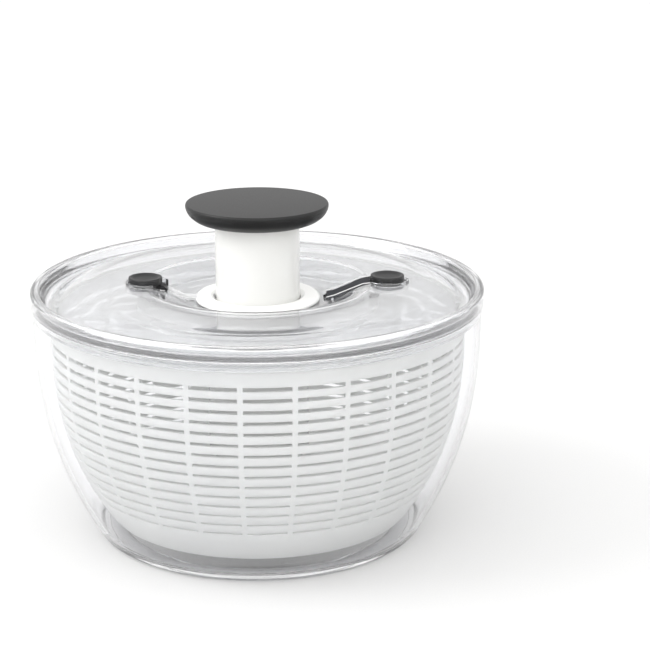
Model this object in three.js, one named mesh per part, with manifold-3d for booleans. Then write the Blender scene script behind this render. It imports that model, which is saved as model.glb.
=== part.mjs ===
// Push-top salad spinner, in millimetres, +Z up.
// The origin is the centre of the foot on the table; +X runs from the lock button to the brake button.

import * as THREE from 'three';
import { mergeVertices } from 'three/addons/utils/BufferGeometryUtils.js';
import Module from 'manifold-3d';

const wasm = await Module();
wasm.setup();

// ---- Driving dimensions ----

const GAP = 0.3;                   // running and joint clearance between neighbouring pieces
const ROUND = 36;                  // sides on the large turned pieces
const CLEAR = 160;                 // a height above every open channel and cup

const bowl = {
  footR: 97.2, rimR: 132.8, sideH: 130, swell: 2.27, wall: 3, rimZ: 141, beadR: 133.4,
  floorZ: 5, undersideZ: 2, standZ: 0.4, pivotR: 4, pivotZ: 17.2,
};
const foot = { innerR: 84, outerR: 92, height: 3 };
const basket = {
  floorZ: 12, floorR: 90.9, rimR: 123, sideH: 110, swell: 2.44, wall: 2.4, rimZ: 136, beadR: 124.4,
  columns: 26, rows: 4, firstRowZ: 34, lastRowZ: 120, slotH: 2, rib: 3, bossR: 8.4, bossZ: 20.2,
  floorWall: 2.2, floorSlotFromR: 36, floorSlotToR: 78, floorSlotHalf: 1.4,
};
const lug = { fromR: 116, toR: 119, half: 4, fromZ: 129, toZ: 136.2 };
const lugRib = { fromR: 118.6, toR: 121.6, half: 1.2, play: 0.8, fromZ: 124.5, toZ: 134 };
const lid = { rimR: 134, rimZ: 150.2, skirtZ: 141.3, boreR: 30.3, dishZ: 140, dishUnderZ: 137.5 };
const cup = { outerR: 13, innerR: 11.7, topZ: 151.3, floorZ: 145.6, bottomZ: 144 };
const channel = { innerHalf: 6.7, outerHalf: 8.7, startX: 40, lockInnerHalf: 4.6, lockOuterHalf: 6.2 };
const collar = { flangeR: 37.5, topZ: 143.2, barrelR: 30, bore: 25.4, bottomZ: 128.1 };
const key = { half: 2, fromY: 23.5, toY: 26.5, fromZ: 129, toZ: 140, wayHalf: 2.6, wayFromY: 23 };
const retainer = { outerR: 34, fromZ: 128.2, toZ: 131.2 };
const plunger = { tubeR: 25, tubeBore: 21, bottomZ: 127.9, topZ: 188, crownZ: 185, travel: 42 };
const knob = { R: 42.2, topZ: 198.7, bottomZ: 187.2, coreR: 28.1, coreTopZ: 194.5 };
const knobScrew = { circleR: 12, holeR: 2.1, shankR: 1.8, headR: 3.4, headZ: 182.6, shankZ: 184, tipZ: 193.2 };
const spindle = {
  R: 7.5, rootR: 5.2, lead: 43, bottomZ: 58, topZ: 140, neckR: 5, journalR: 4, journalZ: 44.2,
  grooveHalf: 0.46, grooveEdge: 0.3,
};
const clutch = {
  driverInR: 5.3, driverR: 20.6, driverZ: 50.1, driverTopZ: 56.6, slotFromR: 13, slotHalf: 4, slotZ: 51.6,
  pawlFromR: 13.6, pawlHalf: 3.5, pawlZ: 51.9, pawlTopZ: 56.4, pawlToR: 21,
  ringZ: 48.8, ringTopZ: 56.8, teeth: 16, toothR: 21.5, rootR: 23.6, toothShare: 0.96,
};
const washer = { inR: 5.6, R: 16, topZ: 49.8 };
const springSeat = { inR: 8.2, R: 17, bottomZ: 57, topZ: 59 };
const nut = {
  flangeR: 26.8, flangeZ: 124.4, shoulderZ: 127.6, topZ: 136, bore: 8.1,
  lugZ: 130.6, lugH: 1.2, lugHalf: 1, tipR: 5.9,
};
const hub = {
  cupR: 30.2, cupBore: 28, neckR: 36.8, neckBore: 34.6, flangeR: 46, flangeZ: 131.4, topZ: 134, floorZ: 46,
  bossR: 8, bossZ: 42,
};
const hubScrew = { circleR: 41, holeR: 1.7, shankR: 1.4, headR: 2.8, headZ: 129.4, shankZ: 130, tipZ: 136 };
const plate = {
  bottomZ: 134.3, topZ: 136.3, R: 117.3, lipR: 115.3, boreR: 30.6, bossR: 34, bossZ: 131.5,
  trackInR: 63, trackOutR: 72, trackZ: 138.4,
};
const coil = { R: 13, wire: 0.9, bottomZ: 60.2, topZ: 124.1, turns: 6 };
const brake = {
  pinX: 44, pinZ: 141.5, pinR: 0.8, buttonX: 77, armHalf: 6, seatR: 9, seatZ: 147.6,
  padX: 68.6, padR: 3.4, padZ: 139.8, padTopZ: 141.6, stemR: 2, stemHoleR: 3, leafHalf: 3,
};
const lock = {
  buttonX: -66.5, cupX: -65.3, travel: 2.4, boltHalf: 4, boltBottomZ: 140.6, boltTopZ: 142, tipX: -25.7,
  seatR: 8.2, seatZ: 146, clipR: 11.3, clipInR: 10.7, clipZ: 146, clipTopZ: 147,
};
const button = { R: 10, topZ: 154.1, bottomZ: 149.8, seatTopZ: 149.5 };

// ---- Finishes ----

const finish = (color, roughness, metalness = 0, opacity = 1) =>
  new THREE.MeshStandardMaterial({ color, roughness, metalness, opacity, transparent: opacity < 1 });

const clearPlastic = finish(0xe9edf2, 0.06, 0, 0.3);
const milkyPlastic = finish(0xeef1ee, 0.35, 0, 0.75);
const whitePlastic = finish(0xf3f1ee, 0.2);
const softBlack = finish(0x2b2b2d, 0.6);
const darkGrey = finish(0x4a4b4f, 0.45);
const greyNylon = finish(0xc9cbcc, 0.5);
const steel = finish(0xb9bcc0, 0.25, 1);

// ---- Solids ----

function toSolid(geometry) {
  const bare = geometry.clone();
  bare.deleteAttribute('normal');
  bare.deleteAttribute('uv');
  const merged = mergeVertices(bare, 1e-4);
  const kept = [];
  const corners = merged.index.array;
  for (let i = 0; i < corners.length; i += 3) {
    const [a, b, c] = [corners[i], corners[i + 1], corners[i + 2]];
    if (a !== b && b !== c && c !== a) kept.push(a, b, c);
  }
  return new wasm.Manifold(new wasm.Mesh({
    numProp: 3,
    vertProperties: new Float32Array(merged.attributes.position.array),
    triVerts: new Uint32Array(kept),
  }));
}

function toGeometry(solid) {
  const mesh = solid.getMesh();
  const geometry = new THREE.BufferGeometry();
  geometry.setAttribute('position', new THREE.BufferAttribute(mesh.vertProperties, 3));
  geometry.setIndex(new THREE.BufferAttribute(mesh.triVerts, 1));
  return geometry;
}

const join = (...solids) => solids.reduce((whole, piece) => whole.add(piece));
const cut = (solid, ...tools) => tools.reduce((rest, tool) => rest.subtract(tool), solid);

// A solid of revolution. The outline is a list of [radius, height], anticlockwise with the radius to the right.
function turned(outline, segments = 32) {
  const points = outline.map(([r, z]) => new THREE.Vector2(r, z));
  return toSolid(new THREE.LatheGeometry(points, segments).rotateX(Math.PI / 2));
}

// A plain ring: the outline closes on itself.
function ring(innerR, outerR, bottomZ, topZ, segments = 32) {
  return turned([
    [innerR, bottomZ], [outerR, bottomZ], [outerR, topZ], [innerR, topZ], [innerR, bottomZ],
  ], segments);
}

function disc(R, bottomZ, topZ, [x, y] = [0, 0], segments = 24) {
  const geometry = new THREE.CylinderGeometry(R, R, topZ - bottomZ, segments).rotateX(Math.PI / 2);
  return toSolid(geometry.translate(x, y, (bottomZ + topZ) / 2));
}

function block([x0, x1], [y0, y1], [z0, z1], turn = 0) {
  const geometry = new THREE.BoxGeometry(x1 - x0, y1 - y0, z1 - z0);
  geometry.translate((x0 + x1) / 2, (y0 + y1) / 2, (z0 + z1) / 2);
  return toSolid(geometry.rotateZ(turn));
}

// A side view [x, z] carried across Y from -half to +half.
function sideways(outline, half) {
  const shape = new THREE.Shape(outline.map(([x, z]) => new THREE.Vector2(x, z)));
  const geometry = new THREE.ExtrudeGeometry(shape, { depth: 2 * half, bevelEnabled: false });
  return toSolid(geometry.rotateX(Math.PI / 2).translate(0, half, 0));
}

// A pin lying along Y.
function crossPin(R, half, x, z, segments = 10) {
  const geometry = new THREE.CylinderGeometry(R, R, 2 * half, segments);
  return toSolid(geometry.translate(x, 0, z));
}

const object = new THREE.Group();

function place(name, solid, material) {
  const mesh = new THREE.Mesh(toGeometry(solid), material);
  mesh.name = name;
  object.add(mesh);
}

// ---- Bowl ----

// The side bulges: steep at the rim, turning in to the foot.
const sideRadius = (b, height) => {
  const t = Math.min(Math.max(height / b.sideH, 0), 1);
  return (b.footR ?? b.floorR) + (b.rimR - (b.footR ?? b.floorR)) * (1 - (1 - t) ** b.swell);
};

function makeBowl() {
  const heights = [4, 18, 44, 80, 130];
  const outside = heights.map((z) => [sideRadius(bowl, z), z]);
  const inside = heights.slice(1).reverse().map((z) => [sideRadius(bowl, z) - bowl.wall, z + 0.4]);
  const shell = turned([
    [0, bowl.undersideZ], [foot.innerR - GAP, bowl.undersideZ], [foot.innerR - GAP, bowl.undersideZ + 1.3],
    [foot.outerR + GAP, bowl.undersideZ + 1.3], [foot.outerR + GAP, bowl.standZ], [96, bowl.standZ],
    ...outside,
    [bowl.rimR, 136.6], [bowl.beadR, 137.4], [bowl.beadR, bowl.rimZ - 0.6], [bowl.beadR - 0.6, bowl.rimZ],
    [bowl.rimR - bowl.wall, bowl.rimZ],
    ...inside,
    [96, 7], [90, bowl.floorZ], [10, bowl.floorZ], [bowl.pivotR + 1.2, 11], [bowl.pivotR, 13],
    [bowl.pivotR, bowl.pivotZ - 1.5], [bowl.pivotR - 1.6, bowl.pivotZ], [0, bowl.pivotZ],
  ], ROUND);
  place('bowl', shell, clearPlastic);
  place('foot_ring', ring(foot.innerR, foot.outerR, 0, foot.height, ROUND), greyNylon);
}

// ---- Basket ----

function makeBasket() {
  const heights = [3, 14, 32, 60, 110];
  const wallAt = (h) => [sideRadius(basket, h), basket.floorZ + h];
  const outside = heights.map(wallAt);
  const inside = heights.slice(1).reverse().map((h) => [wallAt(h)[0] - basket.wall, basket.floorZ + h + 0.5]);
  const floorTop = basket.floorZ + basket.floorWall;
  let body = turned([
    [bowl.pivotR + 2.6, basket.floorZ], [basket.floorR - 1, basket.floorZ],
    ...outside,
    [basket.rimR, basket.rimZ - 3], [basket.beadR, basket.rimZ - 2.4], [basket.beadR, basket.rimZ],
    [basket.rimR - basket.wall, basket.rimZ],
    ...inside,
    [89.5, floorTop + 0.8], [86, floorTop], [basket.bossR + 2, floorTop], [basket.bossR, floorTop + 1.5],
    [basket.bossR, basket.bossZ], [0, basket.bossZ], [0, bowl.pivotZ + 0.4],
    [bowl.pivotR + 0.4, bowl.pivotZ + 0.4], [bowl.pivotR + 0.5, basket.floorZ + 2.6],
    [bowl.pivotR + 2.6, basket.floorZ],
  ], basket.columns);

  // Drain slots: one column on each flat of the wall, so a rib stands at each corner.
  const pitch = 2 * Math.PI / basket.columns;
  const rowStep = (basket.lastRowZ - basket.firstRowZ) / (basket.rows - 1);
  const tools = [];
  for (let column = 0; column < basket.columns; column += 1) {
    const turn = (column + 0.5) * pitch;
    for (let row = 0; row < basket.rows; row += 1) {
      const z = basket.firstRowZ + row * rowStep;
      const r = sideRadius(basket, z - basket.floorZ);
      const half = r * Math.sin(pitch / 2) - basket.rib / 2;
      tools.push(block([r - 9, r + 4], [-half, half], [z - basket.slotH / 2, z + basket.slotH / 2], turn));
    }
    if (column % 2 === 0) {
      const across = [-basket.floorSlotHalf, basket.floorSlotHalf];
      tools.push(block(
        [basket.floorSlotFromR, basket.floorSlotToR], across, [basket.floorZ - 1, floorTop + 1], turn,
      ));
    }
  }
  body = wasm.Manifold.difference([body, ...tools]);

  // Pairs of inner ribs take the drive plate's lugs.
  const ribs = [];
  for (let quarter = 0; quarter < 4; quarter += 1) {
    for (const side of [-1, 1]) {
      const y = side * (lug.half + lugRib.play + lugRib.half);
      ribs.push(block(
        [lugRib.fromR, lugRib.toR], [y - lugRib.half, y + lugRib.half], [lugRib.fromZ, lugRib.toZ],
        quarter * Math.PI / 2,
      ));
    }
  }
  place('basket', join(body, ...ribs), milkyPlastic);
}

// ---- Lid ----

const lidTop = [
  [lid.boreR, lid.dishZ], [41, lid.dishZ], [48, 142], [60, 149], [66.5, 150.7], [76, 150.3],
  [103, 150.1], [111, 148.4], [119, 143.6], [122.8, 142.5], [126, 143.6], [127.6, 147.6],
  [129.2, lid.rimZ], [132.6, lid.rimZ], [lid.rimR, 148.8], [lid.rimR, lid.skirtZ],
];
const lidUnder = [
  [131.4, lid.skirtZ], [131.4, 147.8], [129.2, 147.8], [129.2, 136], [126.8, 136], [126.8, 141.2],
  [122.8, 140], [118, 141.2], [110, 146], [102, 147.6], [66.5, 148.2], [61, 146.6], [49, 139.6],
  [41.6, lid.dishUnderZ], [lid.boreR, lid.dishUnderZ],
];

function makeLid() {
  const shell = turned([...lidTop, ...lidUnder, [lid.boreR, lid.dishZ]].reverse(), ROUND);

  // Round cups hold the two buttons.
  const cups = [brake.buttonX, lock.cupX].map((x) => disc(cup.outerR, cup.bottomZ, cup.topZ, [x, 0], 32));
  const hollows = [brake.buttonX, lock.cupX].map((x) => disc(cup.innerR, cup.floorZ, CLEAR, [x, 0], 32));

  // The brake lever lies in a channel whose sides carry its pin.
  const brakeTrough = sideways([
    [channel.startX, 137.5], [50, 137.5], [65.5, 143.4], [67, 151.4], [62, 150.9], [45, 143.8],
    [channel.startX + 0.4, 142.6],
  ], channel.outerHalf);
  const brakeSpace = sideways([
    [channel.startX - 1, 139.5], [50, 139.5], [65, 145.2], [70, cup.floorZ], [70, CLEAR],
    [channel.startX - 1, CLEAR],
  ], channel.innerHalf);
  const lockTrough = sideways([
    [-41, 137.5], [-47.5, 137.5], [-56, 143.4], [-58, 151.2], [-54, 147.4], [-41.4, 140.6],
  ], channel.lockOuterHalf);
  const lockSpace = sideways([
    [-38, 139.9], [-46.5, 139.9], [-57, 145.9], [-62, cup.floorZ], [-62, CLEAR], [-38, CLEAR],
  ], channel.lockInnerHalf);

  const cover = cut(
    join(shell, ...cups, brakeTrough, lockTrough),
    ...hollows, brakeSpace, lockSpace,
    crossPin(brake.pinR + GAP, 12, brake.pinX, brake.pinZ),
    disc(brake.stemHoleR, 143, 147, [brake.padX, 0], 16),
  );
  place('lid_cover', cover, clearPlastic);
}

function makeCollar() {
  const body = turned([
    [collar.bore, collar.bottomZ], [collar.barrelR, collar.bottomZ], [collar.barrelR, lid.dishZ + GAP],
    [collar.flangeR, lid.dishZ + GAP], [collar.flangeR, 141.6], [collar.flangeR - 1.6, collar.topZ],
    [28, collar.topZ], [collar.bore, 141.4], [collar.bore, collar.bottomZ],
  ], 32);
  const keyRib = block([-key.half, key.half], [key.fromY, key.toY], [key.fromZ, key.toZ]);
  const boltTunnel = block(
    [-collar.flangeR - 1, -plunger.tubeBore], [-lock.boltHalf - 0.5, lock.boltHalf + 0.5],
    [lock.boltBottomZ - 1, lock.boltTopZ + GAP],
  );
  place('plunger_collar', cut(join(body, keyRib), boltTunnel), whitePlastic);

  const inner = collar.barrelR + GAP;
  place('retaining_ring', ring(inner, retainer.outerR, retainer.fromZ, retainer.toZ, 32), whitePlastic);
}

// ---- Brake ----

function buttonSolid(x) {
  const cap = turned([
    [0, button.bottomZ], [button.R - 0.6, button.bottomZ], [button.R, button.bottomZ + 0.6],
    [button.R, button.topZ - 0.9], [button.R - 0.9, button.topZ], [7.2, button.topZ - 0.4],
    [3.6, button.topZ - 1.3], [0, button.topZ - 1.6],
  ], 24);
  return cap.translate([x, 0, 0]);
}

function makeBrake() {
  const seatTop = button.seatTopZ;
  const arm = sideways([
    [41, 140.2], [49, 140.4], [66.5, 147], [78, brake.seatZ], [78, seatTop], [67, seatTop],
    [66.4, 151], [62, 150.2], [45, 143.3], [41, 142.6],
  ], brake.armHalf);
  const seat = disc(brake.seatR, brake.seatZ, seatTop, [brake.buttonX, 0]);
  const stem = disc(brake.stemR, brake.padTopZ + GAP, brake.seatZ + 0.4, [brake.padX, 0], 12);
  const pinHole = crossPin(brake.pinR + GAP, 12, brake.pinX, brake.pinZ);
  const buttonRoom = disc(button.R + GAP, seatTop, CLEAR, [brake.buttonX, 0], 24);
  place('brake_lever', cut(join(arm, seat, stem), pinHole, buttonRoom), darkGrey);
  place('brake_button', buttonSolid(brake.buttonX), softBlack);
  place('brake_pad', disc(brake.padR, brake.padZ, brake.padTopZ, [brake.padX, 0], 16), softBlack);
  place('brake_pin', crossPin(brake.pinR, channel.outerHalf - 0.2, brake.pinX, brake.pinZ), steel);

  // A bent steel leaf under the arm lifts it again.
  const leaf = sideways([
    [52, 140.8], [60.4, 143.85], [60.2, 144.3], [52.4, 141.4], [51.6, 141.1],
  ], brake.leafHalf);
  place('brake_spring', leaf, steel);
}

// ---- Lock ----

function makeLock() {
  place('lock_button', buttonSolid(lock.buttonX), softBlack);
  const seat = disc(lock.seatR, lock.seatZ, button.seatTopZ, [lock.buttonX, 0]);
  const tail = sideways([
    [-60, 146.2], [-57, 146.4], [-44, 140.6], [lock.tipX, lock.boltBottomZ], [lock.tipX, lock.boltTopZ],
    [-43.4, lock.boltTopZ], [-56, 148.4], [-60, 148.4],
  ].reverse(), lock.boltHalf);
  place('lock_bolt', join(seat, tail), clearPlastic);
  const clip = cut(
    disc(lock.clipR, lock.clipZ, lock.clipTopZ, [lock.cupX, 0]),
    disc(lock.clipInR, lock.clipZ - 1, lock.clipTopZ + 1, [lock.cupX, 0]),
    block(
      [lock.cupX - 2, lock.cupX + cup.innerR], [-cup.innerR, cup.innerR],
      [lock.clipZ - 1, lock.clipTopZ + 1],
    ),
  );
  place('lock_detent', clip, steel);
}

// ---- Plunger ----

function ringPoints(count, radius, turn = 0) {
  return Array.from({ length: count }, (_, i) => {
    const angle = turn + i * 2 * Math.PI / count;
    return [radius * Math.cos(angle), radius * Math.sin(angle)];
  });
}

const knobScrewPlaces = ringPoints(3, knobScrew.circleR, Math.PI / 6);

function makePlunger() {
  const barrel = cut(
    disc(plunger.tubeR, plunger.bottomZ, plunger.topZ, [0, 0], 36),
    disc(plunger.tubeBore, plunger.bottomZ - 1, plunger.crownZ, [0, 0], 36),
  );
  const keyway = block(
    [-key.wayHalf, key.wayHalf], [key.wayFromY, plunger.tubeR + 2], [plunger.bottomZ - 1, plunger.crownZ - 0.1],
  );
  const notches = [0, plunger.travel].map((rise) => block(
    [-plunger.tubeR - 2, lock.tipX + lock.travel + 0.4],
    [-lock.boltHalf - 0.6, lock.boltHalf + 0.6],
    [lock.boltBottomZ - 0.7 + rise, lock.boltTopZ + 0.7 + rise],
  ));
  const screwHoles = knobScrewPlaces.map((at) => disc(knobScrew.holeR, 180, 190, at, 12));
  place('plunger_tube', cut(barrel, keyway, ...notches, ...screwHoles), whitePlastic);

  const nutBody = turned([
    [nut.bore, nut.flangeZ], [nut.flangeR, nut.flangeZ], [nut.flangeR, nut.shoulderZ],
    [plunger.tubeBore - GAP, nut.shoulderZ], [plunger.tubeBore - GAP, nut.topZ], [nut.bore, nut.topZ],
    [nut.bore, nut.flangeZ],
  ], 32);
  const lugs = [-1, 1].map((side) => block(
    [side > 0 ? nut.tipR : -nut.bore - 2, side > 0 ? nut.bore + 2 : -nut.tipR], [-nut.lugHalf, nut.lugHalf],
    [nut.lugZ - nut.lugH / 2, nut.lugZ + nut.lugH / 2],
  ));
  place('drive_nut', join(nutBody, ...lugs), greyNylon);

  const cap = turned([
    [0, knob.coreTopZ + GAP], [knob.coreR + GAP, knob.coreTopZ + GAP], [knob.coreR + GAP, knob.bottomZ + 0.2],
    [29.4, knob.bottomZ], [36, 188.7], [40.4, 192.2], [42, 195.6], [knob.R, 197.7], [41.6, knob.topZ],
    [0, knob.topZ],
  ], ROUND);
  place('knob_cap', cap, softBlack);

  const coreHoles = knobScrewPlaces.map((at) => disc(knobScrew.holeR, 188, knobScrew.tipZ + 0.4, at, 12));
  const core = disc(knob.coreR, plunger.topZ + GAP, knob.coreTopZ, [0, 0], 32);
  place('knob_core', cut(core, ...coreHoles), darkGrey);
  knobScrewPlaces.forEach((at, i) => {
    const shank = disc(knobScrew.shankR, knobScrew.shankZ, knobScrew.tipZ, at, 10);
    const head = disc(knobScrew.headR, knobScrew.headZ, plunger.crownZ - GAP, at, 12);
    const screw = join(shank, head);
    place(`knob_screw_${i + 1}`, screw, steel);
  });
}

// ---- Spindle ----

function makeSpindle() {
  // Two opposite grooves, then the whole section is wound about the axis at the lead.
  const root = spindle.grooveHalf - spindle.grooveEdge;
  const land = Math.PI - 2 * spindle.grooveHalf;
  const outline = [];
  for (const side of [0, Math.PI]) {
    outline.push([spindle.rootR, side - root], [spindle.rootR, side + root]);
    for (let i = 0; i <= 4; i += 1) outline.push([spindle.R, side + spindle.grooveHalf + land * i / 4]);
  }
  const points = outline.map(([r, a]) => new THREE.Vector2(r * Math.cos(a), r * Math.sin(a)));
  const length = spindle.topZ - spindle.bottomZ;
  const section = new THREE.ExtrudeGeometry(new THREE.Shape(points), {
    depth: length, steps: 32, bevelEnabled: false,
  });
  section.translate(0, 0, spindle.bottomZ);
  const position = section.attributes.position;
  const point = new THREE.Vector3();
  for (let i = 0; i < position.count; i += 1) {
    point.fromBufferAttribute(position, i);
    point.applyAxisAngle(new THREE.Vector3(0, 0, 1), -2 * Math.PI * (point.z - nut.lugZ) / spindle.lead);
    position.setXYZ(i, point.x, point.y, point.z);
  }
  const neckZ = washer.topZ + 0.1;
  const neck = disc(spindle.neckR, neckZ, spindle.bottomZ + 0.5, [0, 0], 20);
  const journal = disc(spindle.journalR, spindle.journalZ, neckZ + 1, [0, 0], 20);
  place('spiral_spindle', join(toSolid(section), neck, journal), greyNylon);

  const pawlTurns = [0, Math.PI];
  const driver = cut(
    ring(clutch.driverInR, clutch.driverR, clutch.driverZ, clutch.driverTopZ, 32),
    ...pawlTurns.map((turn) => block(
      [clutch.slotFromR, clutch.rootR], [-clutch.slotHalf, clutch.slotHalf],
      [clutch.slotZ, springSeat.topZ], turn,
    )),
  );
  place('clutch_driver', driver, greyNylon);
  pawlTurns.forEach((turn, i) => {
    const blank = block(
      [clutch.pawlFromR, clutch.rootR], [-clutch.pawlHalf, clutch.pawlHalf],
      [clutch.pawlZ, clutch.pawlTopZ], turn,
    );
    const pawl = cut(blank, ring(clutch.pawlToR, hub.cupR, clutch.pawlZ - 1, clutch.pawlTopZ + 1, 32));
    place(`clutch_pawl_${i + 1}`, pawl, whitePlastic);
  });
  place('spring_seat', ring(springSeat.inR, springSeat.R, springSeat.bottomZ, springSeat.topZ, 24), steel);
}

// ---- Drive plate and hub ----

function makeDrive() {
  const disk = turned([
    [plate.boreR, plate.bossZ], [plate.bossR, plate.bossZ], [plate.bossR, plate.bottomZ],
    [plate.lipR, plate.bottomZ], [plate.lipR, lug.fromZ], [plate.R, lug.fromZ], [plate.R, plate.topZ],
    [plate.trackOutR, plate.topZ], [plate.trackOutR, plate.trackZ], [plate.trackInR, plate.trackZ],
    [plate.trackInR, plate.topZ], [plate.boreR, plate.topZ], [plate.boreR, plate.bossZ],
  ], ROUND);
  const lugs = [0, 1, 2, 3].map((quarter) => block(
    [lug.fromR, lug.toR], [-lug.half, lug.half], [lug.fromZ, lug.toZ], quarter * Math.PI / 2,
  ));
  const screwPlaces = ringPoints(3, hubScrew.circleR, Math.PI / 2);
  const plateHoles = screwPlaces.map((at) => disc(hubScrew.holeR, hub.topZ, plate.topZ + 1, at, 10));
  place('drive_plate', cut(join(disk, ...lugs), ...plateHoles), clearPlastic);

  const cupBody = turned([
    [0, hub.bossZ], [hub.bossR, hub.bossZ], [hub.bossR, hub.floorZ], [hub.cupR - 2, hub.floorZ],
    [hub.cupR, hub.floorZ + 2], [hub.cupR, 118], [hub.neckR, 124], [hub.neckR, hub.flangeZ],
    [hub.flangeR, hub.flangeZ], [hub.flangeR, hub.topZ],
    [hub.neckBore, hub.topZ], [hub.neckBore, 125], [hub.cupBore, 119], [hub.cupBore, hub.floorZ + 2.5],
    [spindle.journalR + GAP, hub.floorZ + 2.5], [spindle.journalR + GAP, 43.8], [0, 43.8],
  ], 32);
  const hubHoles = screwPlaces.map((at) => disc(hubScrew.holeR, hub.flangeZ - 1, hub.topZ + 1, at, 10));
  place('drive_hub', cut(cupBody, ...hubHoles), whitePlastic);
  screwPlaces.forEach((at, i) => {
    const shank = disc(hubScrew.shankR, hubScrew.shankZ, hubScrew.tipZ, at, 10);
    const head = disc(hubScrew.headR, hubScrew.headZ, hub.flangeZ - GAP, at, 12);
    const screw = join(shank, head);
    place(`hub_screw_${i + 1}`, screw, steel);
  });

  // Saw teeth inside the ring catch the pawls one way only.
  const toothed = new THREE.Shape();
  for (let i = 0; i < clutch.teeth; i += 1) {
    const start = i * 2 * Math.PI / clutch.teeth;
    const end = start + 2 * Math.PI / clutch.teeth * clutch.toothShare;
    toothed[i === 0 ? 'moveTo' : 'lineTo'](clutch.toothR * Math.cos(start), clutch.toothR * Math.sin(start));
    toothed.lineTo(clutch.rootR * Math.cos(end), clutch.rootR * Math.sin(end));
  }
  const depth = clutch.ringTopZ - clutch.ringZ + 4;
  const teethSpace = new THREE.ExtrudeGeometry(toothed, { depth, bevelEnabled: false });
  teethSpace.translate(0, 0, clutch.ringZ - 2);
  const blank = disc(hub.cupBore - GAP, clutch.ringZ, clutch.ringTopZ, [0, 0], 40);
  place('clutch_ring', cut(blank, toSolid(teethSpace)), greyNylon);
  place('thrust_washer', ring(washer.inR, washer.R, clutch.ringZ, washer.topZ, 24), steel);
}

// ---- Return spring ----

class Helix extends THREE.Curve {
  getPoint(t, target = new THREE.Vector3()) {
    const angle = 2 * Math.PI * coil.turns * t;
    const low = coil.bottomZ + coil.wire;
    const high = coil.topZ - coil.wire;
    return target.set(coil.R * Math.cos(angle), coil.R * Math.sin(angle), low + (high - low) * t);
  }
}

function makeReturnSpring() {
  const points = ringPoints(5, coil.wire).map(([x, y]) => new THREE.Vector2(x, y));
  const wire = new THREE.ExtrudeGeometry(new THREE.Shape(points), {
    steps: coil.turns * 10, extrudePath: new Helix(), bevelEnabled: false,
  });
  place('return_spring', toSolid(wire), steel);
}

makeBowl();
makeBasket();
makeLid();
makeCollar();
makeBrake();
makeLock();
makePlunger();
makeSpindle();
makeDrive();
makeReturnSpring();

export default object;
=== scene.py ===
from math import pi, radians, tau

import bpy
import numpy as np
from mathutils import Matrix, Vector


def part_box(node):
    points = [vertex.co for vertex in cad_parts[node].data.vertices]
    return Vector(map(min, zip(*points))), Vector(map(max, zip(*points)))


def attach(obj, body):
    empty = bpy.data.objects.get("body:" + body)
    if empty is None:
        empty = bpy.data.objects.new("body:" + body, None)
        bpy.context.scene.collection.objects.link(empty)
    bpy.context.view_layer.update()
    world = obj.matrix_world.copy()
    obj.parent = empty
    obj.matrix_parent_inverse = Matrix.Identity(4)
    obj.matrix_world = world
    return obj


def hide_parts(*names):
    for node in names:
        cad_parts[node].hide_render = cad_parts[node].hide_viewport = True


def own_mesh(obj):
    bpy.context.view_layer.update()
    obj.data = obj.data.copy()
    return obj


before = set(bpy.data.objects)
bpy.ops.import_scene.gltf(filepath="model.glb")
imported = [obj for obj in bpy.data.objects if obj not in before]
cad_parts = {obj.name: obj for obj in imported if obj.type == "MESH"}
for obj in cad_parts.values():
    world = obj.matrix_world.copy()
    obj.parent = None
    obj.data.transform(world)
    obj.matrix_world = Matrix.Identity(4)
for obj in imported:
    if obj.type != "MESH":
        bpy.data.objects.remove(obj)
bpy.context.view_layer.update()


# Studio. The spinner stands on a wide sheet of matt white paper under a bright, even room, with one large
# soft lamp high on the left that lays a faint shadow to the right.

class Wire:
    """An output socket of a node; arithmetic on it adds Math nodes to the same tree."""

    def __init__(self, paint, socket):
        self.paint = paint
        self.socket = socket

    def maths(self, operation, *values):
        """One Math node fed with the values or Wires."""
        return self.paint.node("ShaderNodeMath", {"operation": operation}, dict(enumerate(values)))

    def __add__(self, other):
        return self.maths("ADD", self, other)

    def __sub__(self, other):
        return self.maths("SUBTRACT", self, other)

    def __rsub__(self, other):
        return self.maths("SUBTRACT", other, self)

    def __mul__(self, other):
        return self.maths("MULTIPLY", self, other)

    def __pow__(self, other):
        return self.maths("POWER", self, other)

    __radd__ = __add__
    __rmul__ = __mul__


class Paint:
    """A node tree under construction: a new material's, or the world's."""

    def __init__(self, owner):
        owner.use_nodes = True
        self.owner = owner
        self.tree = owner.node_tree
        self.tree.nodes.clear()

    def node(self, kind, settings=None, sockets=None, out=0):
        """Adds one node: its settings first, then a value or a Wire for each named or numbered input."""
        made = self.tree.nodes.new(kind)
        for key, value in (settings or {}).items():
            if key == "stops":
                ramp = made.color_ramp.elements
                for place, (at, colour) in zip(ramp, value):
                    place.position = at
                    place.color = colour
            else:
                setattr(made, key, value)
        for key, value in (sockets or {}).items():
            if isinstance(value, Wire):
                self.tree.links.new(value.socket, made.inputs[key])
            else:
                made.inputs[key].default_value = value
        return Wire(self, made.outputs[out])

    def finish(self, shader, kind="ShaderNodeOutputMaterial"):
        """Joins the shader to the tree's output and gives back the finished material or world."""
        end = self.tree.nodes.new(kind)
        self.tree.links.new(shader.socket, end.inputs["Surface"])
        return self.owner


scene = bpy.context.scene
scene.view_settings.view_transform = "Standard"

eye_tilt = 16.38
eye = bpy.data.cameras.new("eye")
eye.lens = 106.2
eye.sensor_width = 36
eye.clip_end = 30
eye_stand = bpy.data.objects.new("eye", eye)
eye_stand.location = (0, -1.1, 0.4467)
eye_stand.rotation_euler = (radians(90 - eye_tilt), 0, radians(-2.08))
scene.collection.objects.link(eye_stand)
scene.camera = eye_stand

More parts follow.
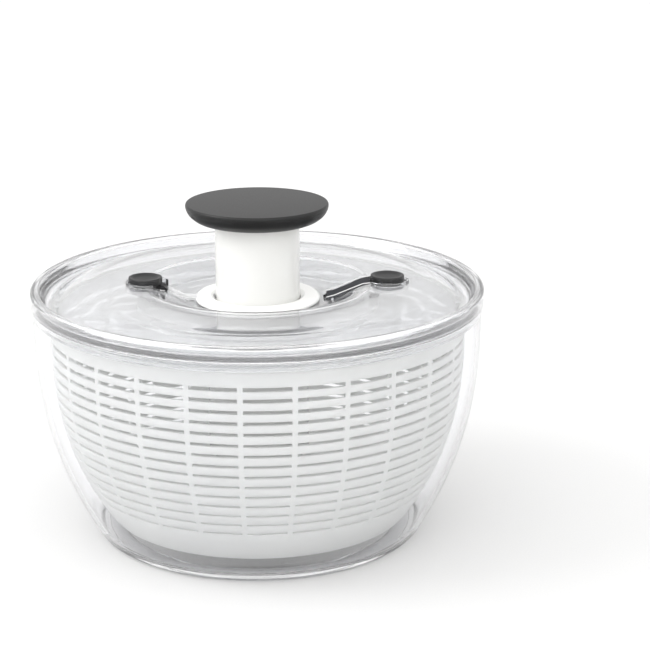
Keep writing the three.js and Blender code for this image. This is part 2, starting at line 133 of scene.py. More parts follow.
room = bpy.data.worlds.new("room")
scene.world = room
air = Paint(room)
direction = air.node("ShaderNodeTexCoord", out=0)
east = air.node("ShaderNodeSeparateXYZ", {}, {0: direction}, out=0)
north = air.node("ShaderNodeSeparateXYZ", {}, {0: direction}, out=1)
up = air.node("ShaderNodeSeparateXYZ", {}, {0: direction}, out=2)
glow = 1.62 - 0.72 * north - 0.1 * east + 0.1 * up
sky = air.node("ShaderNodeBackground", {}, {"Color": (1.0, 0.998, 0.995, 1), "Strength": glow})
air.finish(sky, "ShaderNodeOutputWorld")


def lamp(name, place, aim, size, power):
    """A square soft lamp at place, turned so that its face looks at aim."""
    light = bpy.data.lights.new(name, "AREA")
    light.size = size
    light.energy = power
    stand = bpy.data.objects.new(name, light)
    stand.location = place
    look = np.array(aim, float) - np.array(place, float)
    flat = float(np.hypot(look[0], look[1]))
    tilt = float(np.arctan2(flat, -look[2]))
    heading = float(np.arctan2(look[0], -look[1]) + pi)
    stand.rotation_euler = (tilt, 0, heading)
    scene.collection.objects.link(stand)


lamp("key_lamp", (-1.4, -0.2, 1.3), (0, 0, 0.08), 1.0, 16)

# Every size from here on is in millimetres, and MM brings it to metres.
MM = 0.001


def skin(name, points, faces, smooth_to=38):
    """A mesh piece from points in millimetres and rows of corner numbers; edges that turn more than smooth_to
    degrees stay sharp."""
    used, compact = np.unique(np.concatenate([f.ravel() for f in faces]), return_inverse=True)
    rows, start = [], 0
    for block in faces:
        rows += compact[start:start + block.size].reshape(block.shape).tolist()
        start += block.size
    mesh = bpy.data.meshes.new(name)
    mesh.from_pydata((points.reshape(-1, 3)[used] * MM).tolist(), [], rows)
    mesh.validate()
    mesh.shade_smooth()
    mesh.set_sharp_from_angle(angle=radians(smooth_to))
    piece = bpy.data.objects.new(name, mesh)
    scene.collection.objects.link(piece)
    return piece


paper_side, paper_front, paper_back = 6000, -3000, 9000
floor_points = np.array([
    [-paper_side, paper_front, 0], [paper_side, paper_front, 0],
    [paper_side, paper_back, 0], [-paper_side, paper_back, 0]], float)
paper_sheet = skin("paper_sheet", floor_points, [np.array([[0, 1, 2, 3]])])
paper = Paint(bpy.data.materials.new("white_paper"))
paper_place = paper.node("ShaderNodeTexCoord", out=3)
tooth = paper.node("ShaderNodeTexNoise", {}, {"Vector": paper_place, "Scale": 900.0, "Detail": 3.0})
paper_colour = paper.node("ShaderNodeValToRGB", {"stops": [
    (0.3, (0.45, 0.45, 0.45, 1)), (0.7, (0.47, 0.47, 0.47, 1)),
]}, {0: tooth})
paper_sheet.data.materials.append(paper.finish(paper.node("ShaderNodeBsdfPrincipled", {}, {
    "Base Color": paper_colour, "Roughness": 0.85, "Specular IOR Level": 0.1,
    "Emission Color": (1.0, 0.997, 0.99, 1), "Emission Strength": 0.25,
})))


# Bowl. One injection-moulded shell of clear hard plastic, about 3 mm thick, bulging from a thick flat foot up
# to a beaded rim; a low cone in the middle of its floor is the pivot for the basket.

def grid_cells(ids, closed_v=False):
    """The four corner numbers of every cell of a grid of corner numbers, which closes on itself along u, and
    along v where asked."""
    ids = np.concatenate([ids, ids[:1]], 0)
    if closed_v:
        ids = np.concatenate([ids, ids[:, :1]], 1)
    return np.stack([ids[:-1, :-1], ids[1:, :-1], ids[1:, 1:], ids[:-1, 1:]], -1)


def cell_faces(cells):
    """The faces of the cells: four-sided, or a triangle where a side has shrunk to a pole."""
    cells = cells.reshape(-1, 4)
    low_pole = cells[:, 0] == cells[:, 1]
    high_pole = cells[:, 2] == cells[:, 3]
    whole = cells[~(low_pole | high_pole)]
    return [whole, cells[low_pole][:, [0, 2, 3]], cells[high_pole & ~low_pole][:, [0, 1, 2]]]


def turned(name, profile, sides, centre=(0, 0), smooth_to=38):
    """Surface of revolution. Point (u, v) is the profile's point v, (r, z), turned to the angle u about an
    upright axis through centre. The profile runs anticlockwise; it ends on the axis or closes on itself."""
    r, z = np.asarray(profile, float).T
    u = np.arange(sides)[:, None] * tau / sides
    points = np.stack([centre[0] + r * np.cos(u), centre[1] + r * np.sin(u), z + 0 * u], -1)
    ids = np.arange(points[..., 0].size).reshape(sides, -1)
    on_axis = r == 0
    ids[:, on_axis] = ids[0, on_axis]
    return skin(name, points, cell_faces(grid_cells(ids, closed_v=not on_axis.any())), smooth_to)


def eased(corners, steps=5):
    """A profile with soft corners. A corner (r, z, e) becomes the parabola that leaves the straight run at e
    before the corner and meets the next run at e after it; e is cut to under half of the shorter run."""
    p = np.array([c[:2] for c in corners], float)
    e = np.array([c[2] if len(c) > 2 else 0.0 for c in corners])
    back, ahead = np.roll(p, 1, 0) - p, np.roll(p, -1, 0) - p
    run_back, run_ahead = np.linalg.norm(back, axis=1), np.linalg.norm(ahead, axis=1)
    most = 0.49
    e = np.minimum(e, most * np.minimum(run_back, run_ahead))
    t = np.linspace(0, 1, steps)[None, :, None]
    a = (p + back * (e / run_back)[:, None])[:, None]
    b = (p + ahead * (e / run_ahead)[:, None])[:, None]
    curves = (1 - t) ** 2 * a + 2 * t * (1 - t) * p[:, None] + t ** 2 * b
    return np.concatenate([c if s > 0 else c[:1] for c, s in zip(curves, e)])


def clear_plastic(name, tint, clarity):
    """Clear moulding: glass-like with a faint cool tint, faint flow lines and a few fine rub marks."""
    mix = Paint(bpy.data.materials.new(name))
    place = mix.node("ShaderNodeTexCoord", out=3)
    flow = mix.node("ShaderNodeTexNoise", {}, {"Vector": place, "Scale": 9.0, "Detail": 2.0})
    colour = mix.node("ShaderNodeValToRGB", {"stops": [
        (0.3, (*tint, 1)), (0.75, (*(0.5 + 0.5 * c for c in tint), 1)),
    ]}, {0: flow})
    rubs = mix.node("ShaderNodeTexNoise", {}, {
        "Vector": place, "Scale": 240.0, "Detail": 4.0, "Roughness": 0.7})
    swell = mix.node("ShaderNodeBump", {}, {"Strength": 0.006, "Distance": 0.0008, "Height": flow})
    return mix.finish(mix.node("ShaderNodeBsdfPrincipled", {}, {
        "Base Color": colour, "Roughness": 0.02 + 0.03 * rubs ** 4.0, "IOR": 1.5,
        "Transmission Weight": clarity, "Normal": swell,
    }))


def extent(node):
    """A node's lowest and highest corners, in millimetres."""
    low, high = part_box(node)
    return np.array(low) / MM, np.array(high) / MM


def join_body(piece, paint, body, slot, *nodes):
    """Gives the piece its material and body, and hides the nodes, if any, that it stands for. The slot is not
    used.
    """
    piece.data.materials.clear()
    piece.data.materials.append(paint)
    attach(piece, body)
    if nodes:
        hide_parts(*nodes)


bead = 0.6
bowl_high = extent("bowl")[1]
rim_z = bowl_high[2]
rim_r = bowl_high[0] - bead
foot_r = 97.2
side_h = 130
bulge = 2.27
wall = 3.0
pivot_top = 17.2


def bowl_side(z):
    """Outer radius at height z: foot radius plus the rest of the way to the rim, closing as the power bulge
    of what is left of the height."""
    return foot_r + (rim_r - foot_r) * (1 - (1 - np.clip(z / side_h, 0, 1)) ** bulge)


climb = np.concatenate([np.linspace(3, 30, 12), np.linspace(36, side_h, 20)])
outside = np.stack([bowl_side(climb), climb], 1)
inner_climb = climb[climb > 9][::-1]
lean = np.gradient(bowl_side(inner_climb), inner_climb)
upright = 1 / np.hypot(1, lean)
inside = np.stack([bowl_side(inner_climb) - wall * upright, inner_climb + wall * lean * upright], 1)
bowl_profile = np.concatenate([
    eased([(0, 2.0), (83.7, 2.0, 0.3), (83.7, 3.3, 0.3), (92.3, 3.3, 0.3), (92.3, 0.4, 0.5),
           (96.4, 0.4, 1.2), tuple(outside[0])])[:-1],
    outside,
    eased([tuple(outside[-1]), (rim_r, 136.4, 0.8), (rim_r + bead, 137.2, 0.6),
           (rim_r + bead, rim_z, 0.8), (rim_r - wall, rim_z, 0.8), tuple(inside[0])])[1:-1],
    inside,
    eased([tuple(inside[-1]), (97.5, 5.2, 5.0), (84, 5.0, 4.0), (11, 5.0, 1.5), (5.2, 11, 1.5),
           (4.0, 13, 1.0), (4.0, pivot_top, 1.6), (0, pivot_top)])[1:],
])
bowl_piece = turned("clear_bowl", bowl_profile, 192)
bowl_clear = clear_plastic("bowl_clear", (0.972, 0.974, 0.990), 0.97)
join_body(bowl_piece, bowl_clear, "bowl", "clear_plastic", "bowl")


# Foot ring. A flat ring of translucent rubber pressed into the groove under the bowl, standing a hair proud
# of it so that the bowl grips the table.

ring_outer = extent("foot_ring")[1][0]
ring_inner = 84.1
ring_top = 3.0
ring_piece = turned("grip_ring", eased([
    (ring_inner, 0.5, 0.5), (85, 0, 0.5), (91, 0, 0.5), (ring_outer, 0.6, 0.5),
    (ring_outer, ring_top, 0.4), (ring_inner, ring_top, 0.4),
]), 192)
rubber = Paint(bpy.data.materials.new("ring_rubber"))
grain = rubber.node("ShaderNodeTexNoise", {}, {
    "Vector": rubber.node("ShaderNodeTexCoord", out=3), "Scale": 700.0, "Detail": 3.0})
ring_colour = rubber.node("ShaderNodeValToRGB", {"stops": [
    (0.3, (0.84, 0.845, 0.88, 1)), (0.7, (0.90, 0.905, 0.93, 1)),
]}, {0: grain})
ring_rubber = rubber.finish(rubber.node("ShaderNodeBsdfPrincipled", {}, {
    "Base Color": ring_colour, "Roughness": 0.35, "Transmission Weight": 0.85, "IOR": 1.42,
    "Normal": rubber.node("ShaderNodeBump", {}, {"Strength": 0.15, "Distance": 0.0005, "Height": grain}),
}))
join_body(ring_piece, ring_rubber, "bowl", "ring_rubber", "foot_ring")


# Basket. A milky, slightly see-through moulding with 26 columns of narrow drain slots in 15 rows, ribs of
# constant width between them, and a socket in its floor that sits on the bowl's pivot.

def prism(name, outline, y, turn=0.0):
    """A side view carried across: point (v, s) is the outline's point v, (x, z), at the low or the high end of
    the span y, with flat ends, all turned about Z. The outline runs anticlockwise, seen from -Y."""
    x, z = np.asarray(outline, float).T
    across = np.array(y, float)[:, None]
    points = np.stack([
        x * np.cos(turn) - across * np.sin(turn),
        x * np.sin(turn) + across * np.cos(turn),
        z + 0 * across], -1)
    near = np.arange(len(x))
    far = near + len(x)
    sides = np.stack([near, far, np.roll(far, -1), np.roll(near, -1)], -1)
    return skin(name, points, [sides[:, ::-1], near[None], far[None, ::-1]])


def slab(name, x, y, z, turn=0.0):
    """A block from its spans along X, Y and Z, turned about Z."""
    return prism(name, [(x[0], z[0]), (x[1], z[0]), (x[1], z[1]), (x[0], z[1])], y, turn)


def carve(piece, tools, operation="DIFFERENCE"):
    """Joins the tools to the piece or cuts them out of it, one after another, and keeps only the result."""
    for tool in tools:
        step = piece.modifiers.new(tool.name, "BOOLEAN")
        step.operation = operation
        step.solver = "EXACT"
        step.object = tool
    graph = bpy.context.evaluated_depsgraph_get()
    result = bpy.data.meshes.new_from_object(piece.evaluated_get(graph))
    piece.modifiers.clear()
    piece.data = result
    result.shade_smooth()
    result.set_sharp_from_angle(angle=radians(30))
    for tool in tools:
        bpy.data.objects.remove(tool, do_unlink=True)


basket_low, basket_high = extent("basket")
columns = 26
slot_rows = 15
slot_half = 1.0
rib_half = 1.5
first_rib = radians(-90 - 4.75)
top_slot_z = 123.5
row_step = 6.47
sheet = 2.2
basket_z = basket_low[2]
basket_foot = 90.9
basket_rim = 123.0
basket_side_h = 110
basket_bulge = 2.44


def basket_side(z):
    """Outer radius at height z, by the bowl's rule with its own foot, height and power."""
    left = 1 - np.clip((z - basket_z) / basket_side_h, 0, 1)
    return basket_foot + (basket_rim - basket_foot) * (1 - left ** basket_bulge)


row_z = top_slot_z - row_step * np.arange(slot_rows)[::-1]
row_half = np.linspace(0.62, 1.28, slot_rows)[:, None] * np.array([-1, 1, 0]) + np.array([0, 0, 3.2])
wall_z = np.concatenate([[18, 22, 26], (row_z[:, None] + row_half).ravel(), [129, 132]])
wall_open = np.concatenate([[0, 0, 0], np.tile([1, 0, 0], slot_rows), [0, 0]]).astype(bool)
between_rows = (wall_z - row_z[0]) / row_step % 1.0
louvre = 0.35
in_rows = (wall_z > row_z[0] - 2) & (wall_z < row_z[-1] + 2)
wall_line = np.stack([basket_side(wall_z) + np.where(in_rows, louvre * (0.5 - between_rows), 0), wall_z], 1)
floor_rings = 9
floor_r = 30 + 6.2 * np.arange(floor_rings)
floor_line = np.stack([
    (floor_r[:, None] + np.array([-slot_half, slot_half])).ravel(), np.full(2 * floor_rings, basket_z)], 1)
floor_open = np.tile([1, 0], floor_rings).astype(bool)
socket = eased([(0, 17.7), (4.5, 17.7, 0.8), (4.7, 14.6, 1.0), (6.8, basket_z, 1.0), (20, basket_z)])
heel = eased([(82, basket_z), (90.3, basket_z, 2.5), tuple(wall_line[0])])
lip_r = 124.4
lip = eased([tuple(wall_line[-1]), (basket_rim, 133.2, 0.5), (lip_r, 133.8, 0.6), (lip_r, basket_high[2])])
basket_line = np.concatenate([socket, floor_line, heel[1:-1], wall_line, lip[1:]])
open_row = np.concatenate([
    np.zeros(len(socket), bool), floor_open, np.zeros(len(heel) - 2, bool), wall_open,
    np.zeros(len(lip) - 1, bool)])[:-1]

line_r, line_z = basket_line.T
pitch = tau / columns
rib_angle = np.minimum(rib_half / np.maximum(line_r, 1e-9), 0.3 * pitch)
slot_cuts = np.linspace(0, 1, 6)
column_angles = np.concatenate([[0 * rib_angle], rib_angle + slot_cuts[:, None] * (pitch - 2 * rib_angle)])
column_starts = first_rib + pitch * np.arange(columns)[:, None, None]
angles = (column_starts + column_angles[None]).reshape(-1, len(line_r))
open_column = np.tile([0, 1, 1, 1, 1, 1, 0], columns).astype(bool)
basket_points = np.stack([line_r * np.cos(angles), line_r * np.sin(angles), line_z + 0 * angles], -1)
basket_ids = np.arange(angles.size).reshape(angles.shape)
basket_ids[:, 0] = basket_ids[0, 0]
solid_cells = grid_cells(basket_ids)[~(open_column[:, None] & open_row[None])]
basket_piece = skin("slotted_basket", basket_points, cell_faces(solid_cells))
thicken = basket_piece.modifiers.new("wall", "SOLIDIFY")
thicken.thickness = sheet * MM
thicken.offset = -1
soften = basket_piece.modifiers.new("soft_edges", "BEVEL")
soften.width = 0.25 * MM
soften.segments = 1
soften.limit_method = "ANGLE"
soften.angle_limit = radians(50)

milky = Paint(bpy.data.materials.new("milky_plastic"))
spot = milky.node("ShaderNodeTexCoord", out=3)
cloud = milky.node("ShaderNodeTexNoise", {}, {"Vector": spot, "Scale": 14.0, "Detail": 3.0})
milk_colour = milky.node("ShaderNodeValToRGB", {"stops": [
    (0.3, (0.958, 0.97, 0.948, 1)), (0.7, (0.975, 0.986, 0.966, 1)),
]}, {0: cloud})
fine = milky.node("ShaderNodeTexNoise", {}, {"Vector": spot, "Scale": 600.0, "Detail": 2.0})
milk_bump = milky.node("ShaderNodeBump", {}, {"Strength": 0.06, "Distance": 0.0004, "Height": fine})
surface = milky.node("ShaderNodeBsdfPrincipled", {}, {
    "Base Color": milk_colour, "Roughness": 0.3 + 0.1 * cloud, "IOR": 1.49, "Normal": milk_bump})
through = milky.node("ShaderNodeBsdfTranslucent", {}, {"Color": (0.966, 0.978, 0.957, 1)})
milk = milky.finish(milky.node("ShaderNodeMixShader", {}, {0: 0.12, 1: surface, 2: through}))
join_body(basket_piece, milk, "basket", "milky_plastic", "basket")

# Eight short ribs inside the rim, in pairs, that the drive plate's lugs push on.
rib_spans = [(-7.2, -4.8), (4.8, 7.2)]
first_lug_rib, *more_lug_ribs = [
    slab(f"lug_rib_{q}_{i}", (118.6, 121.6), span, (124.5, 134), q * pi / 2)
    for q in range(4) for i, span in enumerate(rib_spans)]
carve(first_lug_rib, more_lug_ribs, "UNION")
first_lug_rib.name = "lug_ribs"
join_body(first_lug_rib, milk, "basket", "milky_plastic")


# Drive hub. A white moulded cup that hangs in the middle of the basket round the spindle, screwed by its
# flange to the drive plate; the clutch ring is pressed into its foot over a steel thrust washer.

def plain_plastic(name, dark, light, roughness, grain_scale=500.0, bump=0.08, coat=0.0, shine=0.5):
    """Opaque moulding: its colour drifts between two near tones, under a fine skin texture."""
    mix = Paint(bpy.data.materials.new(name))
    place = mix.node("ShaderNodeTexCoord", out=3)
    drift = mix.node("ShaderNodeTexNoise", {}, {"Vector": place, "Scale": 18.0, "Detail": 2.0})
    colour = mix.node("ShaderNodeValToRGB", {"stops": [(0.3, (*dark, 1)), (0.7, (*light, 1))]}, {0: drift})
    grains = mix.node("ShaderNodeTexNoise", {}, {"Vector": place, "Scale": grain_scale, "Detail": 3.0})
    skin_bump = mix.node("ShaderNodeBump", {}, {"Strength": bump, "Distance": 0.0004, "Height": grains})
    return mix.finish(mix.node("ShaderNodeBsdfPrincipled", {}, {
        "Base Color": colour, "Roughness": roughness + 0.08 * (grains - 0.5), "Coat Weight": coat,
        "Coat Roughness": 0.08, "Specular IOR Level": shine, "Normal": skin_bump,
    }))


def metal(name, tone, roughness):
    """Drawn or stamped metal: fine lines along Z break up its gloss."""
    mix = Paint(bpy.data.materials.new(name))
    place = mix.node("ShaderNodeTexCoord", out=3)
    stretched = mix.node("ShaderNodeMapping", {}, {"Vector": place, "Scale": (1.0, 1.0, 0.06)})
    lines = mix.node("ShaderNodeTexNoise", {}, {"Vector": stretched, "Scale": 2500.0, "Detail": 3.0})
    colour = mix.node("ShaderNodeValToRGB", {"stops": [
        (0.3, (0.85 * tone, 0.86 * tone, 0.88 * tone, 1)), (0.7, (tone, tone, tone, 1))]}, {0: lines})
    return mix.finish(mix.node("ShaderNodeBsdfPrincipled", {}, {
        "Base Color": colour, "Metallic": 1.0, "Roughness": roughness + 0.15 * lines,
        "Normal": mix.node("ShaderNodeBump", {}, {"Strength": 0.1, "Distance": 0.0002, "Height": lines}),
    }))


def drum(name, radius, low, high, centre, edge, sides):
    """A solid round block from the height low to high, its rims eased by edge."""
    block = eased([(0, low), (radius, low, edge), (radius, high, edge), (0, high)], 3)
    return turned(name, block, sides, centre)


def repaint(paint, *nodes):
    """Gives a node that keeps its own shape a better material."""
    for node in nodes:
        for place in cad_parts[node].material_slots:
            place.material = paint


def round_places(count, radius, turn):
    """The x and y of points evenly round a circle, the first at the angle turn."""
    angle = turn + tau * np.arange(count) / count
    return np.stack([radius * np.cos(angle), radius * np.sin(angle)], 1)


white_gloss = plain_plastic(
    "white_gloss", (0.655, 0.655, 0.637), (0.685, 0.685, 0.667), 0.2, bump=0.03, coat=0.25)
nylon = plain_plastic("grey_nylon", (0.50, 0.51, 0.51), (0.56, 0.57, 0.57), 0.4, grain_scale=350.0)
steel = metal("bright_steel", 0.68, 0.18)
hub_low, hub_high = extent("drive_hub")
hub_foot = hub_low[2]
hub_top = hub_high[2]
hub_flange_r = 46
cup_r, cup_bore = 30.2, 28
neck_r, neck_bore = 36.8, 34.6
hub_piece = turned("drive_cup", eased([
    (0, hub_foot), (8, hub_foot, 0.8), (8, 46, 1.5), (cup_r, 46, 2.4), (cup_r, 118, 4), (neck_r, 124, 3),
    (neck_r, 131.4, 0.8), (hub_flange_r, 131.4, 0.5), (hub_flange_r, hub_top, 0.4), (neck_bore, hub_top, 0.4),
    (neck_bore, 125, 2), (cup_bore, 119, 3), (cup_bore, 48.5, 1.5), (4.3, 48.5, 0.4), (4.3, 43.8, 0.3),
    (0, 43.8),
]), 128)
screw_hole_r = 1.7
hub_holes = round_places(3, 41, pi / 2)
carve(hub_piece, [drum(f"hole_{i}", screw_hole_r, 130, 136, at, 0.1, 16) for i, at in enumerate(hub_holes)])
join_body(hub_piece, white_gloss, "drive", "white_plastic", "drive_hub")
repaint(nylon, "clutch_ring")
repaint(steel, "thrust_washer", "hub_screw_1", "hub_screw_2", "hub_screw_3")


# Drive plate. A thin clear moulded disc right under the lid: a lip with four lugs turns the basket, and the
# raised band near its middle is what the brake pad rubs on.

lug_tip, _, track_z = extent("drive_plate")[1]
plate_bore = 30.6
plate_under, plate_top = 134.3, 136.3
skirt_bore, skirt_r, skirt_low = 115.3, 117.3, 129
track_in, track_out = 63, 72
plate_piece = turned("drive_disc", eased([
    (plate_bore, 131.5, 0.3), (34, 131.5, 0.3), (34, plate_under, 0.8), (skirt_bore, plate_under, 0.8),
    (skirt_bore, skirt_low, 0.3), (skirt_r, skirt_low, 0.3), (skirt_r, plate_top, 0.9),
    (track_out, plate_top, 0.5), (track_out, track_z, 0.5), (track_in, track_z, 0.5),
    (track_in, plate_top, 0.5), (plate_bore, plate_top, 0.3),
], 4), 192)
lugs = [slab(f"lug_{i}", (116, lug_tip), (-4, 4), (129.4, 136), i * pi / 2) for i in range(4)]
carve(plate_piece, lugs, "UNION")
carve(plate_piece, [drum(f"hole_{i}", screw_hole_r, 130, 139, at, 0.1, 16) for i, at in enumerate(hub_holes)])
thin = Paint(bpy.data.materials.new("plate_clear"))
haze = thin.node("ShaderNodeTexNoise", {}, {
    "Vector": thin.node("ShaderNodeTexCoord", out=3), "Scale": 30.0, "Detail": 3.0})
thin_colour = thin.node("ShaderNodeValToRGB", {"stops": [
    (0.3, (0.90, 0.91, 0.925, 1)), (0.7, (0.94, 0.945, 0.95, 1)),
]}, {0: haze})
plate_clear = thin.finish(thin.node("ShaderNodeBsdfPrincipled", {}, {
    "Base Color": thin_colour, "Roughness": 0.08 + 0.06 * haze, "IOR": 1.5, "Alpha": 0.4 + 0.06 * haze}))
join_body(plate_piece, plate_clear, "drive", "clear_plastic", "drive_plate")


# Spindle, clutch and return spring. A wound nylon rod stands in the hub, with a one-way clutch of two pawls
# at its foot; a steel coil spring round it rests on a washer and lifts the plunger.

repaint(nylon, "spiral_spindle", "clutch_driver")
repaint(white_gloss, "clutch_pawl_1", "clutch_pawl_2")
repaint(steel, "spring_seat")


def coil(name, radius, wire, low, high, turns):
    """A round wire wound into a helix. Point (t, w) stands on the centre line at the share t of its length,
    at radius from the axis and rising evenly from low to high, moved by the wire's own radius at the angle w
    round the centre line. The wire tapers to nothing at both ends, so they are closed."""
    steps_a_turn, wire_sides, end_taper = 40, 10, 400
    t = np.linspace(0, 1, steps_a_turn * turns + 1)[:, None]
    w = np.arange(wire_sides)[None] * tau / wire_sides
    turn = tau * turns * t
    thick = wire * np.minimum(1, np.minimum(t, 1 - t) * end_taper)
    out = radius + thick * np.cos(w)
    rise = low + (high - low) * t
    points = np.stack([out * np.cos(turn), out * np.sin(turn), rise + thick * np.sin(w)], -1)
    ids = np.arange(points[..., 0].size).reshape(len(t), -1)
    ids[0] = ids[0, 0]
    ids[-1] = ids[-1, 0]
    return skin(name, points, [f[:, ::-1] for f in cell_faces(grid_cells(ids.T[::-1]))])


spring_low, spring_high = (corner[2] for corner in extent("return_spring"))
wire_r = 0.9
spring_piece = coil("lift_spring", 13, wire_r, spring_low + wire_r, spring_high - wire_r, 6)
join_body(spring_piece, steel, "lid", "steel", "return_spring")
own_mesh(spring_piece)


# Lid. One clear moulding: dished round the plunger, then a steep step up to a flat top, a valley, and a square
# rim that plugs into the bowl; two cups hold the buttons, and a channel leads from each to the middle.

lid_low, lid_high = extent("lid_cover")
plug_z = lid_low[2]
bore_r = 30.3
bore_top, bore_low = 140, 137.5
rim_top = 150.2
rim_outer = lid_high[0]
rim_low = 141.3
brake_cup_x, lock_cup_x = 77, -65.3
cup_top, cup_floor, cup_under = lid_high[2], 145.6, 144
clear_above = 160
lid_over = [
    (bore_r, bore_top, 0.3), (41, bore_top, 3), (48, 142, 3), (60, 149, 3.5), (66.5, 150.7, 1.2),
    (76, 150.3, 4), (103, 150.1, 4), (111, 148.4, 4), (119, 143.6, 3), (122.8, 142.5, 1.8),
    (126, 143.6, 1.4), (127.6, 147.6, 1.5), (129.2, rim_top, 0.6), (132.6, rim_top, 0.6),
    (rim_outer, 148.8, 0.6), (rim_outer, rim_low, 0.4),
]
lid_under = [
    (131.4, rim_low, 0.4), (131.4, 147.8, 0.4), (129.2, 147.8, 0.3), (129.2, plug_z, 0.4),
    (126.8, plug_z, 0.4), (126.8, 141.2, 0.8), (122.8, 140, 1.5), (118, 141.2, 2), (110, 146, 4),
    (102, 147.6, 4), (66.5, 148.2, 2), (61, 146.6, 3), (49, 139.6, 4), (41.6, bore_low, 2),
    (bore_r, bore_low, 0.3),
]
lid_piece = turned("clear_lid", eased((lid_over + lid_under)[::-1]), 256)
cup_places = [(brake_cup_x, 0), (lock_cup_x, 0)]
cups = [drum(f"cup_{i}", 13, cup_under, cup_top, at, 0.5, 96) for i, at in enumerate(cup_places)]
brake_trough = prism("brake_trough", [
    (40, bore_low), (50, bore_low), (65.5, 143.4), (67, 151.2), (62, 150.7), (45, 143.8), (40.4, 142.6)],
    (-8.7, 8.7))
lock_trough = prism("lock_trough", [
    (-41, bore_low), (-41.4, 140.6), (-54, 147.4), (-58, 151), (-56, 143.4), (-47.5, bore_low)], (-6.2, 6.2))
carve(lid_piece, [*cups, brake_trough, lock_trough], "UNION")
wells = [drum(f"well_{i}", 11.7, cup_floor, clear_above, at, 0.4, 96) for i, at in enumerate(cup_places)]
brake_channel = prism("brake_channel", [
    (39, 139.5), (50, 139.5), (65, 145.2), (70, cup_floor), (70, clear_above), (39, clear_above)],
    (-6.7, 6.7))
lock_channel = prism("lock_channel", [
    (-38, 139.9), (-38, clear_above), (-62, clear_above), (-62, cup_floor), (-57, 145.9), (-46.5, 139.9)],
    (-4.6, 4.6))
pad_x = 68.6
pad_hole = drum("pad_hole", 3, 143, 147, (pad_x, 0), 0.1, 32)
cup_opening = prism("cup_opening", [
    (-50, 144.8), (-50, clear_above), (-61.5, clear_above), (-61.5, 150.4)], (-14, 0))
carve(lid_piece, [*wells, brake_channel, lock_channel, pad_hole, cup_opening])
lid_clear = clear_plastic("lid_clear", (0.970, 0.973, 0.988), 0.955)
join_body(lid_piece, lid_clear, "lid", "clear_plastic", "lid_cover")


# Collar. A white ring dropped into the lid's bore as the bearing of the plunger tube; its flange hides the
# bore's edge, and a retaining ring snapped on from below holds it and the drive plate.

collar_low, collar_top = (corner[2] for corner in extent("plunger_collar"))
collar_bore, collar_r, flange_r, flange_under = 25.4, 30, 37, 140.3
collar_piece = turned("tube_collar", eased([
    (collar_bore, collar_low, 0.3), (collar_r, collar_low, 0.5), (collar_r, flange_under, 0.3),
    (flange_r, flange_under, 0.4), (flange_r, 141.6, 0.5), (35.4, collar_top, 0.6), (28, collar_top, 0.5),
    (collar_bore, 141.4, 0.5),
]), 160)
carve(collar_piece, [slab("key", (-2, 2), (23.5, 26.5), (129, 140))], "UNION")
carve(collar_piece, [slab("tunnel", (-40, -20), (-4.5, 4.5), (139.6, 142.3))])
collar_white = plain_plastic(
    "collar_white", (0.80, 0.80, 0.785), (0.84, 0.84, 0.825), 0.22, bump=0.03, coat=0.2)
join_body(collar_piece, collar_white, "lid", "white_plastic", "plunger_collar")
snap_r, snap_low, snap_high = 34, 128.2, 131.2
retainer = turned("snap_ring", eased([
    (bore_r, snap_low, 0.4), (snap_r, snap_low, 0.5), (snap_r, snap_high, 0.5), (bore_r, snap_high, 0.4),
], 4), 128)
join_body(retainer, collar_white, "lid", "white_plastic", "retaining_ring")


# Brake. A dark grey lever lies in the lid's channel on a steel pin; a soft black button sits on its outer
# end, a rubber pad under it reaches down to the drive plate, and a steel leaf lifts it again.

def soften_edges(piece, width):
    """A small round on every edge that turns more than 40 degrees."""
    bevel = piece.modifiers.new("soft_edges", "BEVEL")
    bevel.width = width * MM
    bevel.segments = 2
    bevel.limit_method = "ANGLE"
    bevel.angle_limit = radians(40)
    bevel.use_clamp_overlap = True


soft_black = plain_plastic(
    "soft_black", (0.008, 0.008, 0.009), (0.014, 0.014, 0.015), 0.42, 900.0, 0.12, shine=0.38)
dark_grey = plain_plastic(
    "dark_grey", (0.014, 0.014, 0.019), (0.021, 0.021, 0.027), 0.55, 600.0, 0.06, shine=0.12)
pad_rubber = plain_plastic("pad_rubber", (0.05, 0.05, 0.05), (0.08, 0.08, 0.078), 0.7, 500.0, 0.2)
button_low, button_top = (corner[2] for corner in extent("lock_button"))
button_r = 10
seat_top = button_low - 0.3


def push_button(name, x):
    """A round cap with a hollow top for the fingertip."""
    return turned(name, eased([
        (0, button_low), (button_r, button_low, 0.7), (button_r, button_top, 1.1), (8.6, button_top, 0.5),
        (6.8, button_top - 1.3, 1.5), (0, button_top - 2.1),
    ], 6), 96, (x, 0), smooth_to=60)


lever_piece = prism("brake_arm", [
    (41, 140.2), (49, 140.4), (66.5, 147), (78, 147.6), (78, seat_top), (67, seat_top), (66.4, 151),
    (62, 150.2), (45, 143.3), (41, 142.6)], (-6, 6))
lever_seat = drum("seat", 9, 147.6, seat_top, (brake_cup_x, 0), 0.2, 64)
lever_stem = drum("stem", 2, 141.9, 148, (pad_x, 0), 0.1, 24)
carve(lever_piece, [lever_seat, lever_stem], "UNION")
carve(lever_piece, [drum("button_room", button_r + 0.3, seat_top, clear_above, (brake_cup_x, 0), 0, 64)])
soften_edges(lever_piece, 0.35)
join_body(lever_piece, dark_grey, "brake", "dark_grey_plastic", "brake_lever")
join_body(push_button("brake_cap", brake_cup_x), soft_black, "brake", "soft_black", "brake_button")
repaint(pad_rubber, "brake_pad")
repaint(steel, "brake_pin")
leaf_low = 140.8
leaf_piece = prism("brake_leaf", [
    (52, leaf_low), (60.4, 143.85), (60.2, 144.3), (52.4, 141.4), (51.6, 141.1)], (-3, 3))
join_body(leaf_piece, steel, "lid", "steel", "brake_spring")
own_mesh(leaf_piece)


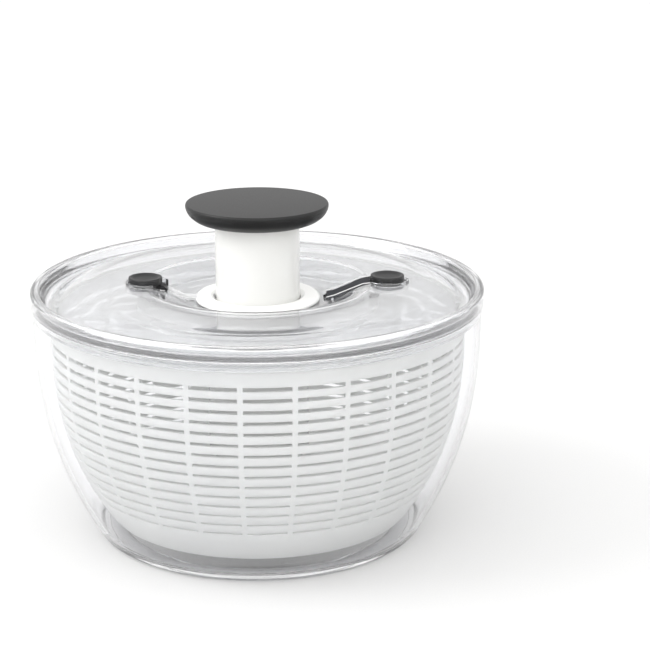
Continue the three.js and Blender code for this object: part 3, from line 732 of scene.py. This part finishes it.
# Lock. The left button slides a clear bar with a black hook at its outer end through the collar into a notch
# of the tube, to keep the knob down for storage; a spring clip in its cup holds it in either place.

lock_x = -66.5
hook_x = -53.5
bar_tip_x = -25.7
bar_low, bar_top = 140.6, 142
hook_piece = prism("lock_hook", [
    (-68, 146.1), (-61, 146.1), (-57.4, 146.4), (hook_x, 144.7), (hook_x, 147.6), (-55.4, seat_top - 0.2),
    (-57, seat_top), (-68, seat_top)], (-4.2, 4.2))
carve(hook_piece, [drum("hook_seat", 8.2, 146, seat_top, (lock_x, 0), 0.2, 64)], "UNION")
soften_edges(hook_piece, 0.3)
join_body(hook_piece, soft_black, "lock", "soft_black")
bar_piece = prism("lock_bar", [
    (hook_x + 0.2, 144.6), (-44, bar_low), (bar_tip_x, bar_low), (bar_tip_x, bar_top), (-43.4, bar_top),
    (hook_x + 0.2, 146.5)], (-4, 4))
soften_edges(bar_piece, 0.25)
join_body(bar_piece, plate_clear, "lock", "clear_plastic", "lock_bolt")
join_body(push_button("lock_cap", lock_x), soft_black, "lock", "soft_black", "lock_button")
repaint(steel, "lock_detent")


# Plunger. A glossy white tube closed at the top slides in the collar; a nylon nut pressed into its foot runs
# on the spindle, and three screws through its crown hold the knob.

tube_low, tube_high = extent("plunger_tube")
tube_foot, tube_top = tube_low[2], tube_high[2]
tube_r, tube_bore = 25, 21
crown_under = 185
stroke = 42
tube_piece = turned("push_tube", eased([
    (0, crown_under), (tube_bore, crown_under, 1), (tube_bore, tube_foot, 0.4), (tube_r, tube_foot, 0.8),
    (tube_r, tube_top, 0.6), (0, tube_top)], 5), 160)
knob_screws = round_places(3, 12, pi / 6)
notches = [slab(f"notch_{i}", (-27, -22.9), (-4.6, 4.6), (139.9 + rise, 142.7 + rise))
           for i, rise in enumerate((0, stroke))]
carve(tube_piece, [slab("keyway", (-2.6, 2.6), (23, 27), (120, crown_under - 0.1)), *notches])
carve(tube_piece, [drum(f"hole_{i}", 2.1, 180, 190, at, 0, 24) for i, at in enumerate(knob_screws)])
join_body(tube_piece, white_gloss, "plunger", "white_plastic", "plunger_tube")
repaint(nylon, "drive_nut")
repaint(steel, "knob_screw_1", "knob_screw_2", "knob_screw_3")


# Knob. A broad soft black cap, flat on top and drawn in below to a cone, is moulded over a hard grey core
# that the tube's screws run into.

cap_low, cap_high = extent("knob_cap")
knob_r, knob_top, knob_under = cap_high[0], cap_high[2], cap_low[2]
core_room_r, core_room_top = 28.4, 194.8
cap_piece = turned("push_cap", eased([
    (0, core_room_top), (core_room_r, core_room_top, 0.4), (core_room_r, knob_under + 0.2, 0.4),
    (29.4, knob_under, 0.5), (knob_r - 6.2, 188.7, 2.6), (knob_r - 1.8, 192.2, 2.2),
    (knob_r - 0.2, 195.6, 1), (knob_r, 197.6, 0.6), (knob_r - 0.6, knob_top, 0.5), (0, knob_top),
], 7), 192, smooth_to=60)
knob_rubber = plain_plastic(
    "knob_rubber", (0.006, 0.006, 0.006), (0.010, 0.010, 0.010), 0.40, 900.0, 0.12, shine=0.27)
join_body(cap_piece, knob_rubber, "plunger", "soft_black", "knob_cap")
repaint(dark_grey, "knob_core")

bpy.context.view_layer.update()
